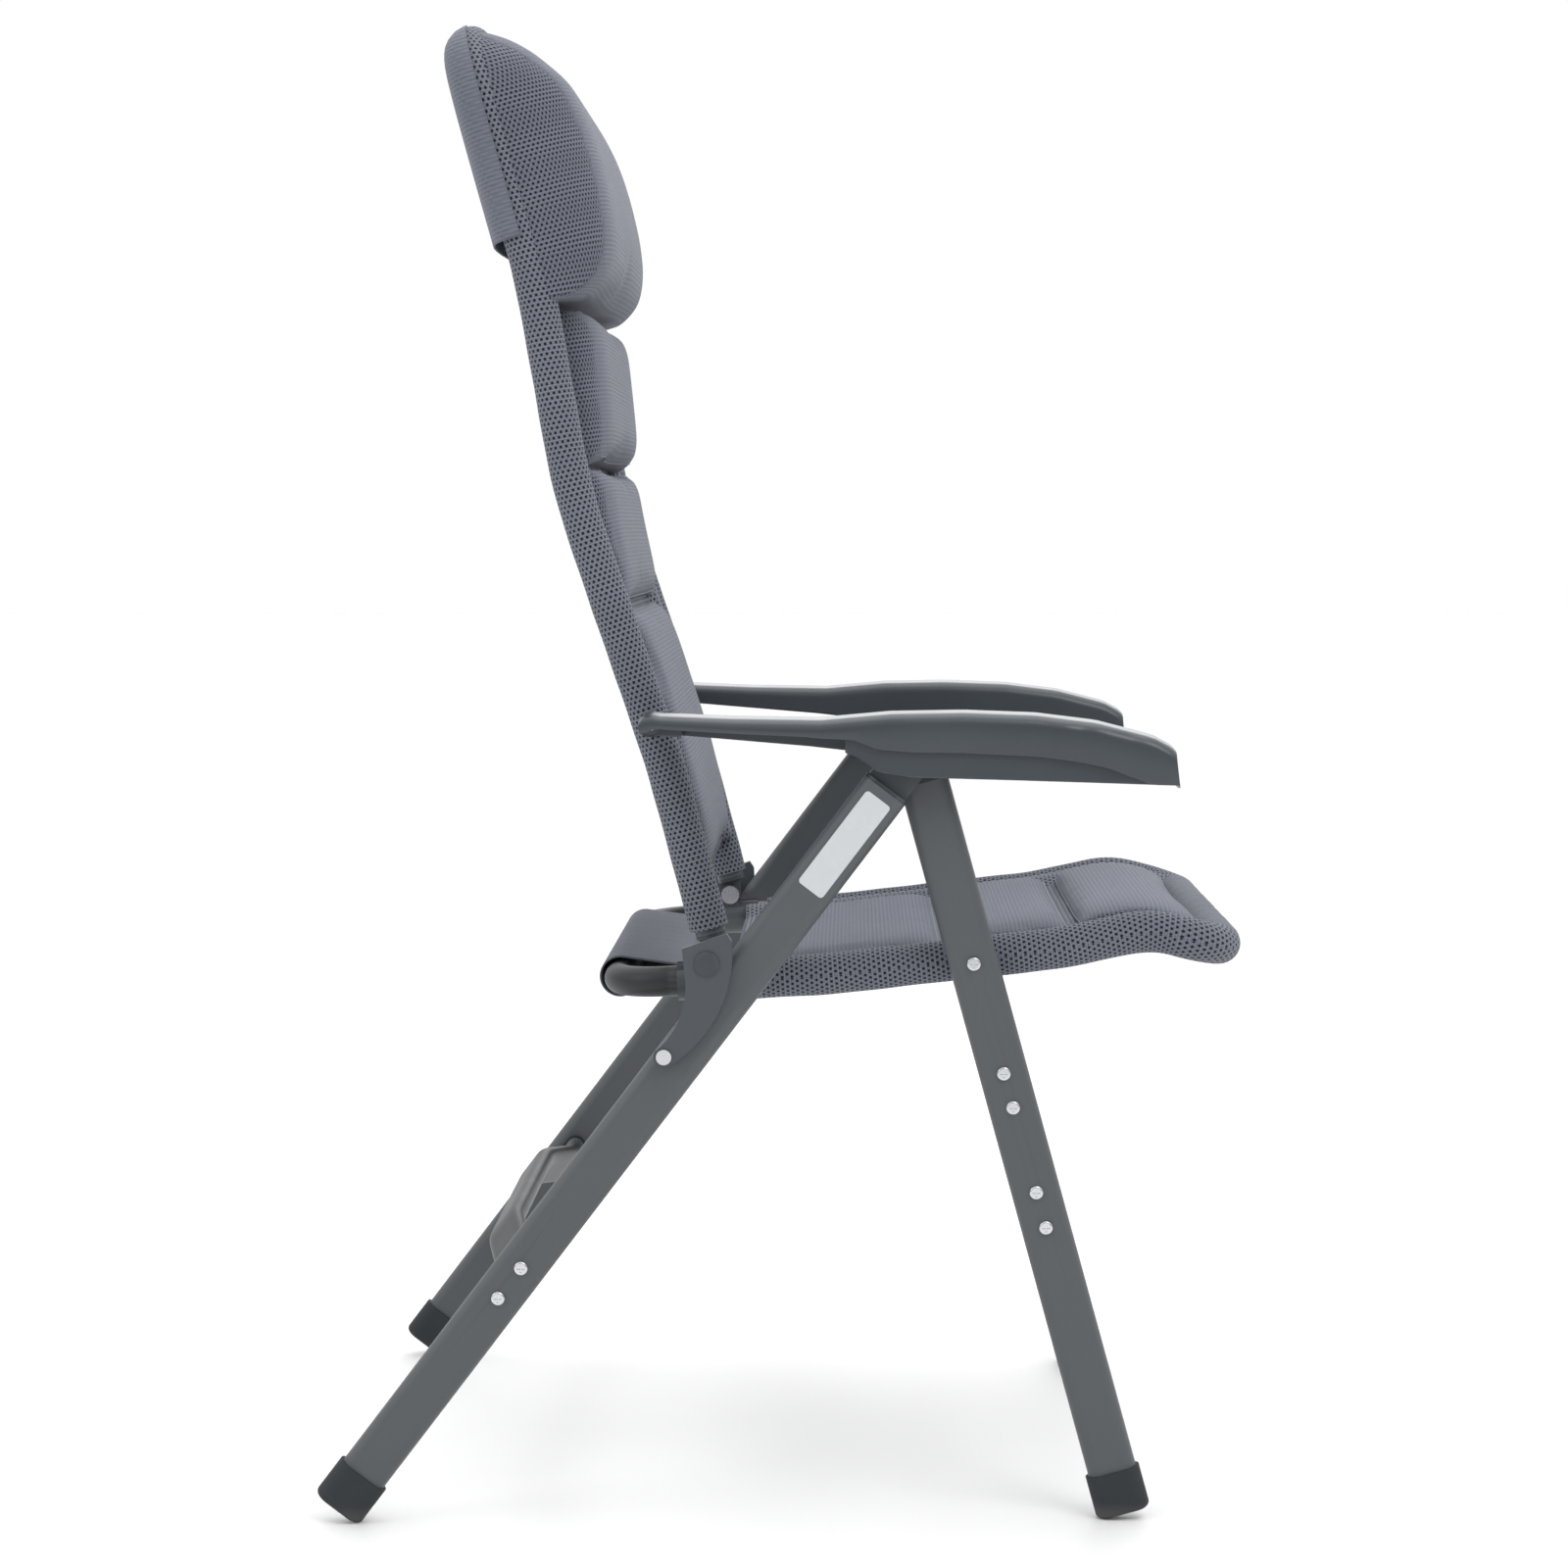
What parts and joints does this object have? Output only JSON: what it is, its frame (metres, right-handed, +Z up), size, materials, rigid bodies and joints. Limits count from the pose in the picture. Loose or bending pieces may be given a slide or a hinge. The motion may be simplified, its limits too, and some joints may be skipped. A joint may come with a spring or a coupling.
{
  "type": "folding camp chair",
  "caption": "High-back padded folding camp chair with reclining back, notched armrests, crossed flat-oval legs and a mesh-covered seat.",
  "frame": {"origin": "on the ground, in the middle of the bounding box's footprint", "axes": "+X the way the sitter faces, +Y the chair's left, +Z up"},
  "size_m": [0.7553, 0.6226, 1.2185],
  "materials": {
    "frame_paint": "satin powder coat, anthracite grey",
    "armrest_plastic": "smooth satin moulded plastic",
    "dark_plastic": "satin moulded plastic",
    "foot_rubber": "matt rubber",
    "screw_steel": "bright zinc plated",
    "mesh_fabric": "open spacer mesh, grey blue",
    "pad_fabric": "padded spacer mesh, grey blue",
    "blank_label": "glossy blank film"
  },
  "bodies": {
    "seat": {"seat_front_bow": "frame_paint", "seat_front_sleeve": "mesh_fabric", "seat_knuckle_left": "dark_plastic", "seat_knuckle_right": "dark_plastic", "seat_pad_front": "pad_fabric", "seat_pad_middle": "pad_fabric", "seat_pad_rear": "pad_fabric", "seat_pivot_screws": "screw_steel", "seat_pivot_spacers": "dark_plastic", "seat_rear_bow": "frame_paint", "seat_rear_sleeve": "mesh_fabric", "seat_side_sleeves": "mesh_fabric", "seat_tube_left": "frame_paint", "seat_tube_right": "frame_paint"},
    "front_legs": {"front_crossbar_lower": "frame_paint", "front_crossbar_plugs": "dark_plastic", "front_crossbar_screws": "screw_steel", "front_crossbar_upper": "frame_paint", "front_foot_left": "foot_rubber", "front_foot_right": "foot_rubber", "front_leg_left": "frame_paint", "front_leg_plugs": "dark_plastic", "front_leg_right": "frame_paint"},
    "rear_legs": {"rear_crossbar": "frame_paint", "rear_crossbar_plugs": "dark_plastic", "rear_crossbar_screws": "screw_steel", "rear_foot_left": "foot_rubber", "rear_foot_right": "foot_rubber", "rear_leg_left": "frame_paint", "rear_leg_plugs": "dark_plastic", "rear_leg_right": "frame_paint", "leg_axles": "screw_steel", "leg_label": "blank_label", "link_rivets": "screw_steel"},
    "links": {"link_left": "dark_plastic", "link_right": "dark_plastic", "link_caps": "dark_plastic", "link_spacers": "dark_plastic"},
    "back_bushes": {"back_bushes": "dark_plastic", "back_pivot_bolts": "screw_steel"},
    "back": {"back_pad_lower": "pad_fabric", "back_pad_middle": "pad_fabric", "back_pad_upper": "pad_fabric", "back_plug_left": "dark_plastic", "back_plug_right": "dark_plastic", "back_side_sleeves": "mesh_fabric", "back_top_bow": "frame_paint", "back_top_sleeve": "mesh_fabric", "back_tube_left": "frame_paint", "back_tube_right": "frame_paint", "headrest_pad": "pad_fabric", "headrest_pocket": "pad_fabric"},
    "arm_bolts": {"arm_bolts": "screw_steel"},
    "arm_bushes": {"arm_bushes": "dark_plastic"},
    "armrest_left": {"armrest_left": "armrest_plastic", "notch_rail_left": "dark_plastic"},
    "armrest_right": {"armrest_right": "armrest_plastic", "notch_rail_right": "dark_plastic"}
  },
  "joints": [
    {"name": "fold", "type": "hinge", "parent": "seat", "child": "front_legs", "pos_m": [0.15329, 0, 0.45646], "axis": [0, 1, 0], "range_deg": [0, 80.92]},
    {"name": "leg_spread", "type": "hinge", "parent": "front_legs", "child": "rear_legs", "pos_m": [0.1055, 0, 0.63], "axis": [0, -1, 0], "range_deg": [0, 48.81]},
    {"name": "link_turn", "type": "hinge", "parent": "rear_legs", "child": "links", "pos_m": [-0.0956, 0, 0.3848], "axis": [0, -1, 0], "range_deg": [0, 126.05]},
    {"name": "back_fold", "type": "hinge", "parent": "seat", "child": "back_bushes", "pos_m": [-0.061, 0, 0.46], "axis": [0, 1, 0], "range_deg": [0, 72.54]},
    {"name": "recline", "type": "hinge", "parent": "back_bushes", "child": "back", "pos_m": [-0.061, 0, 0.46], "axis": [0, -1, 0], "range_deg": [0, 40]},
    {"name": "arm_fold", "type": "hinge", "parent": "back", "child": "arm_bolts", "pos_m": [-0.106, 0, 0.65], "axis": [0, -1, 0], "range_deg": [0, 70.09]},
    {"name": "arm_tilt", "type": "hinge", "parent": "arm_bolts", "child": "arm_bushes", "pos_m": [-0.106, 0, 0.65], "axis": [0, 1, 0], "range_deg": [0, 25.27]},
    {"name": "lift_left", "type": "hinge", "parent": "arm_bushes", "child": "armrest_left", "pos_m": [-0.106, 0, 0.65], "axis": [0, -1, 0], "range_deg": [0, 8]},
    {"name": "lift_right", "type": "hinge", "parent": "arm_bushes", "child": "armrest_right", "pos_m": [-0.106, 0, 0.65], "axis": [0, -1, 0], "range_deg": [0, 8]}
  ],
  "couplings": [
    {"joint": "leg_spread", "follows": "fold", "ratio": 0.60256},
    {"joint": "link_turn", "follows": "fold", "ratio": 1.5572},
    {"joint": "back_fold", "follows": "fold", "ratio": 0.89588},
    {"joint": "arm_fold", "follows": "fold", "ratio": 0.86559},
    {"joint": "arm_tilt", "follows": "recline", "ratio": 0.63043}
  ]
}
